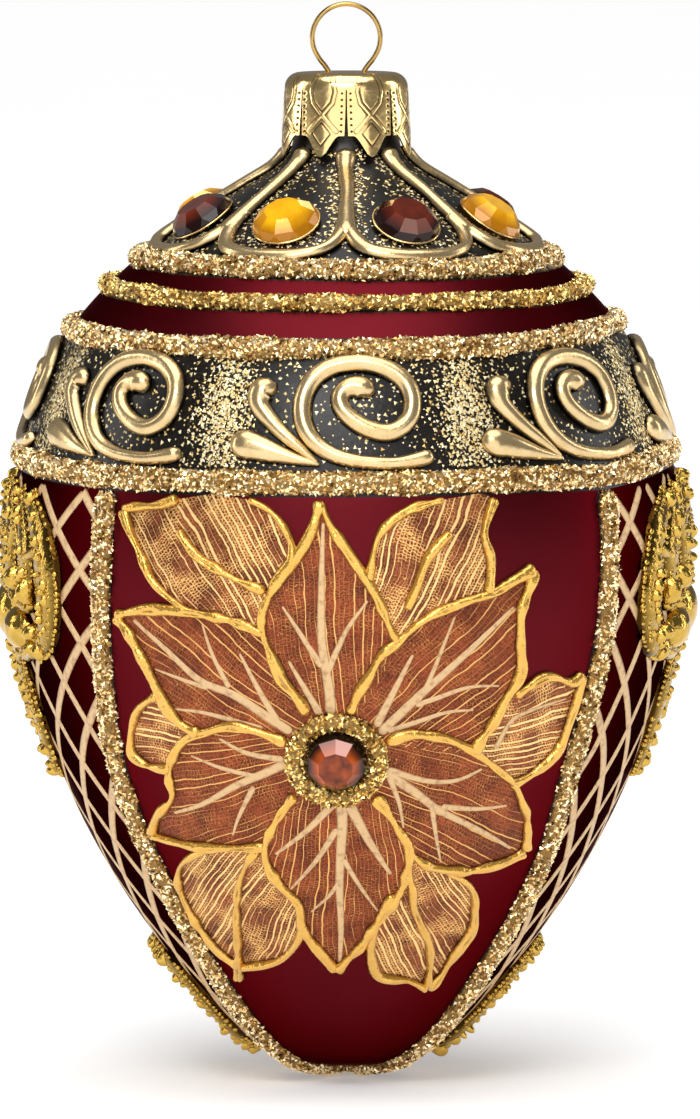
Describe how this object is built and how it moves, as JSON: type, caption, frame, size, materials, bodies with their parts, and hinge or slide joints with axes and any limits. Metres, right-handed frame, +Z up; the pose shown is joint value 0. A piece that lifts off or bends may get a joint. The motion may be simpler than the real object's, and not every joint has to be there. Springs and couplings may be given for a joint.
{
  "type": "egg ornament",
  "caption": "Hollow glass egg ornament made to hang, with a gold crown cap and wire ring, ropes of glitter, raised scrolls, faceted stones and a painted flower.",
  "frame": {"origin": "where the hook bears: the inside of the wire ring at its top, on the egg's upright axis", "axes": "+Z up along the egg's axis, the front flower faces -Y, +X to the right of it"},
  "size_m": [0.096, 0.093, 0.1461],
  "materials": {
    "lacquered_glass": "burgundy lacquer with black enamel zones, satin",
    "crown_gold": "polished pale gold, stamped",
    "ring_wire": "polished gold wire",
    "piping_gold": "antique gold paste with dark edges",
    "paste_gold": "bright gold paste",
    "glitter": "coarse gold glitter set in glue",
    "amber_stone": "faceted, foil-backed amber glass",
    "garnet_stone": "faceted, foil-backed smoked garnet glass",
    "filigree_gold": "yellow gold plate, granulated and polished"
  },
  "bodies": {
    "root": {"glass_egg": "lacquered_glass", "crown_cap": "crown_gold", "hanging_ring": "ring_wire", "dome_piping": "piping_gold", "dome_stone_1": "garnet_stone", "scroll_1": "piping_gold", "dome_stone_2": "amber_stone", "scroll_2": "piping_gold", "dome_stone_3": "garnet_stone", "scroll_3": "piping_gold", "dome_stone_4": "amber_stone", "scroll_4": "piping_gold", "dome_stone_5": "garnet_stone", "scroll_5": "piping_gold", "dome_stone_6": "amber_stone", "scroll_6": "piping_gold", "dome_stone_7": "garnet_stone", "scroll_7": "piping_gold", "dome_stone_8": "amber_stone", "scroll_8": "piping_gold", "shoulder_rope_1": "glitter", "shoulder_rope_2": "glitter", "shoulder_rope_3": "glitter", "shoulder_rope_4": "glitter", "panel_rope_1": "glitter", "panel_rope_2": "glitter", "panel_rope_3": "glitter", "panel_rope_4": "glitter", "front_flower_outline": "paste_gold", "front_stone": "garnet_stone", "front_stone_rope": "glitter", "back_flower_outline": "paste_gold", "back_stone": "garnet_stone", "back_stone_rope": "glitter", "left_medallion": "filigree_gold", "left_tip_leaf": "filigree_gold", "right_medallion": "filigree_gold", "right_tip_leaf": "filigree_gold"}
  },
  "joints": []
}
